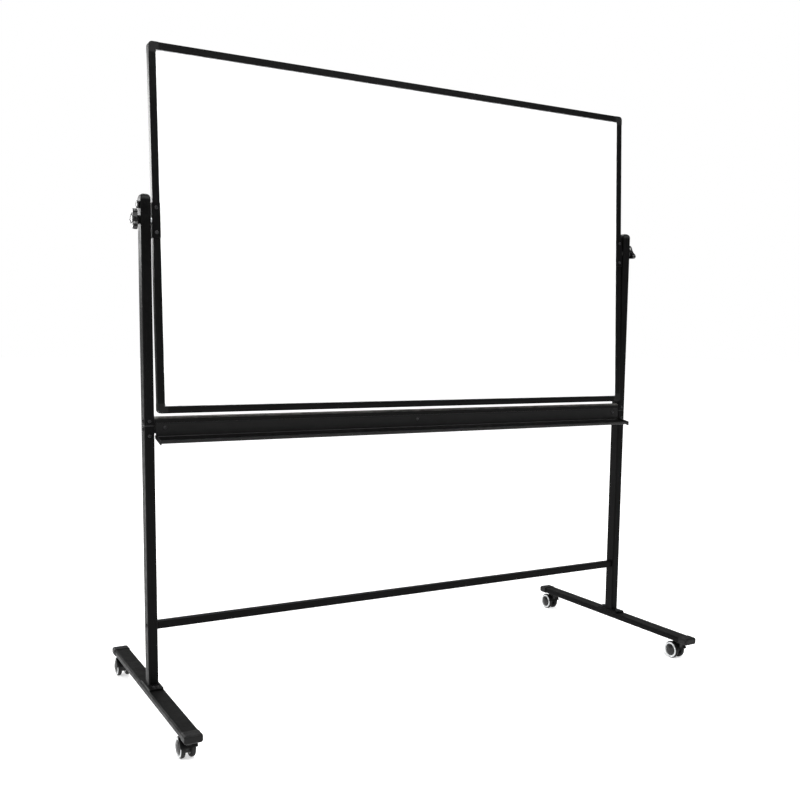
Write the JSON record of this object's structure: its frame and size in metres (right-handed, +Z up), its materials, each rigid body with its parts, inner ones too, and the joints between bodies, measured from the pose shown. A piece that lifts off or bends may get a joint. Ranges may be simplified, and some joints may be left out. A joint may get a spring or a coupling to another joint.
{
  "type": "rolling whiteboard",
  "caption": "Two-sided framed whiteboard that flips on clamping knobs in a black T-foot stand with a pen tray, a lower crossbar and twin-wheel casters.",
  "frame": {"origin": "on the floor, under the middle of the stand", "axes": "+Z up; -Y is the front, where the writer and the pen tray are; +X is the writer's right"},
  "size_m": [1.6004, 0.716, 1.675],
  "materials": {
    "stand_paint": "satin black powder coat",
    "frame_black": "satin black anodised",
    "tray_black": "satin black",
    "black_plastic": "moulded, fine grain",
    "knob_plastic": "moulded, satin",
    "writing_surface": "glossy white enamel",
    "core_board": "raw fibreboard",
    "bright_steel": "zinc plated",
    "dark_steel": "blackened",
    "joint_metal": "dark anodised",
    "insert_brass": "turned",
    "bush_nylon": "smooth",
    "tyre_black": "smooth, slightly dusty",
    "ring_grey": "silver grey"
  },
  "bodies": {
    "stand": {"left_upper_upright": "stand_paint", "right_upper_upright": "stand_paint", "left_lower_upright": "stand_paint", "right_lower_upright": "stand_paint", "joining_sleeves": "joint_metal", "upright_caps": "black_plastic", "tray_beam": "stand_paint", "pen_tray": "tray_black", "tray_end_caps": "black_plastic", "lower_crossbar": "stand_paint", "left_foot": "stand_paint", "right_foot": "stand_paint", "foot_end_caps": "black_plastic", "base_plates": "stand_paint", "base_bolts": "dark_steel", "frame_bolts": "dark_steel", "pan_screws": "dark_steel", "pivot_bushes": "bush_nylon", "caster_stems": "bright_steel"},
    "board": {"top_rail": "frame_black", "bottom_rail": "frame_black", "left_rail": "frame_black", "right_rail": "frame_black", "corner_caps": "black_plastic", "front_writing_sheet": "writing_surface", "rear_writing_sheet": "writing_surface", "panel_core": "core_board", "pivot_brackets": "stand_paint", "pivot_studs": "bright_steel", "bracket_screws": "dark_steel"},
    "left_knob": {"left_pivot_knob": "knob_plastic", "left_knob_insert": "insert_brass"},
    "right_knob": {"right_pivot_knob": "knob_plastic", "right_knob_insert": "insert_brass"},
    "left_lock": {"left_lock_screw": "dark_steel"},
    "right_lock": {"right_lock_screw": "dark_steel"},
    "front_left_caster": {"front_left_caster_hood": "black_plastic", "front_left_caster_axle": "bright_steel"},
    "front_left_left_roller": {"front_left_left_wheel": "tyre_black", "front_left_left_trim_ring": "ring_grey"},
    "front_left_right_roller": {"front_left_right_wheel": "tyre_black", "front_left_right_trim_ring": "ring_grey"},
    "front_right_caster": {"front_right_caster_hood": "black_plastic", "front_right_caster_axle": "bright_steel"},
    "front_right_left_roller": {"front_right_left_wheel": "tyre_black", "front_right_left_trim_ring": "ring_grey"},
    "front_right_right_roller": {"front_right_right_wheel": "tyre_black", "front_right_right_trim_ring": "ring_grey"},
    "rear_left_caster": {"rear_left_caster_hood": "black_plastic", "rear_left_caster_axle": "bright_steel"},
    "rear_left_left_roller": {"rear_left_left_wheel": "tyre_black", "rear_left_left_trim_ring": "ring_grey"},
    "rear_left_right_roller": {"rear_left_right_wheel": "tyre_black", "rear_left_right_trim_ring": "ring_grey"},
    "rear_right_caster": {"rear_right_caster_hood": "black_plastic", "rear_right_caster_axle": "bright_steel"},
    "rear_right_left_roller": {"rear_right_left_wheel": "tyre_black", "rear_right_left_trim_ring": "ring_grey"},
    "rear_right_right_roller": {"rear_right_right_wheel": "tyre_black", "rear_right_right_trim_ring": "ring_grey"}
  },
  "joints": [
    {"name": "board_flip", "type": "hinge", "parent": "stand", "child": "board", "pos_m": [0, 0, 1.248], "axis": [1, 0, 0], "continuous": true},
    {"name": "left_knob_turn", "type": "hinge", "parent": "board", "child": "left_knob", "pos_m": [-0.79, 0, 1.248], "axis": [-1, 0, 0], "range_deg": [0, 270]},
    {"name": "right_knob_turn", "type": "hinge", "parent": "board", "child": "right_knob", "pos_m": [0.79, 0, 1.248], "axis": [1, 0, 0], "range_deg": [0, 270]},
    {"name": "left_lock_turn", "type": "hinge", "parent": "stand", "child": "left_lock", "pos_m": [-0.782, 0, 1.284], "axis": [-1, 0, 0], "range_deg": [0, 300]},
    {"name": "right_lock_turn", "type": "hinge", "parent": "stand", "child": "right_lock", "pos_m": [0.782, 0, 1.284], "axis": [1, 0, 0], "range_deg": [0, 300]},
    {"name": "front_left_swivel", "type": "hinge", "parent": "stand", "child": "front_left_caster", "pos_m": [-0.7685, -0.31, 0.045], "axis": [0, 0, 1], "continuous": true},
    {"name": "front_left_left_roll", "type": "hinge", "parent": "front_left_caster", "child": "front_left_left_roller", "pos_m": [-0.7685, -0.292, 0.026], "axis": [1, 0, 0], "continuous": true},
    {"name": "front_left_right_roll", "type": "hinge", "parent": "front_left_caster", "child": "front_left_right_roller", "pos_m": [-0.7685, -0.292, 0.026], "axis": [1, 0, 0], "continuous": true},
    {"name": "front_right_swivel", "type": "hinge", "parent": "stand", "child": "front_right_caster", "pos_m": [0.7685, -0.31, 0.045], "axis": [0, 0, 1], "continuous": true},
    {"name": "front_right_left_roll", "type": "hinge", "parent": "front_right_caster", "child": "front_right_left_roller", "pos_m": [0.7685, -0.292, 0.026], "axis": [1, 0, 0], "continuous": true},
    {"name": "front_right_right_roll", "type": "hinge", "parent": "front_right_caster", "child": "front_right_right_roller", "pos_m": [0.7685, -0.292, 0.026], "axis": [1, 0, 0], "continuous": true},
    {"name": "rear_left_swivel", "type": "hinge", "parent": "stand", "child": "rear_left_caster", "pos_m": [-0.7685, 0.31, 0.045], "axis": [0, 0, 1], "continuous": true},
    {"name": "rear_left_left_roll", "type": "hinge", "parent": "rear_left_caster", "child": "rear_left_left_roller", "pos_m": [-0.7685, 0.328, 0.026], "axis": [1, 0, 0], "continuous": true},
    {"name": "rear_left_right_roll", "type": "hinge", "parent": "rear_left_caster", "child": "rear_left_right_roller", "pos_m": [-0.7685, 0.328, 0.026], "axis": [1, 0, 0], "continuous": true},
    {"name": "rear_right_swivel", "type": "hinge", "parent": "stand", "child": "rear_right_caster", "pos_m": [0.7685, 0.31, 0.045], "axis": [0, 0, 1], "continuous": true},
    {"name": "rear_right_left_roll", "type": "hinge", "parent": "rear_right_caster", "child": "rear_right_left_roller", "pos_m": [0.7685, 0.328, 0.026], "axis": [1, 0, 0], "continuous": true},
    {"name": "rear_right_right_roll", "type": "hinge", "parent": "rear_right_caster", "child": "rear_right_right_roller", "pos_m": [0.7685, 0.328, 0.026], "axis": [1, 0, 0], "continuous": true}
  ]
}
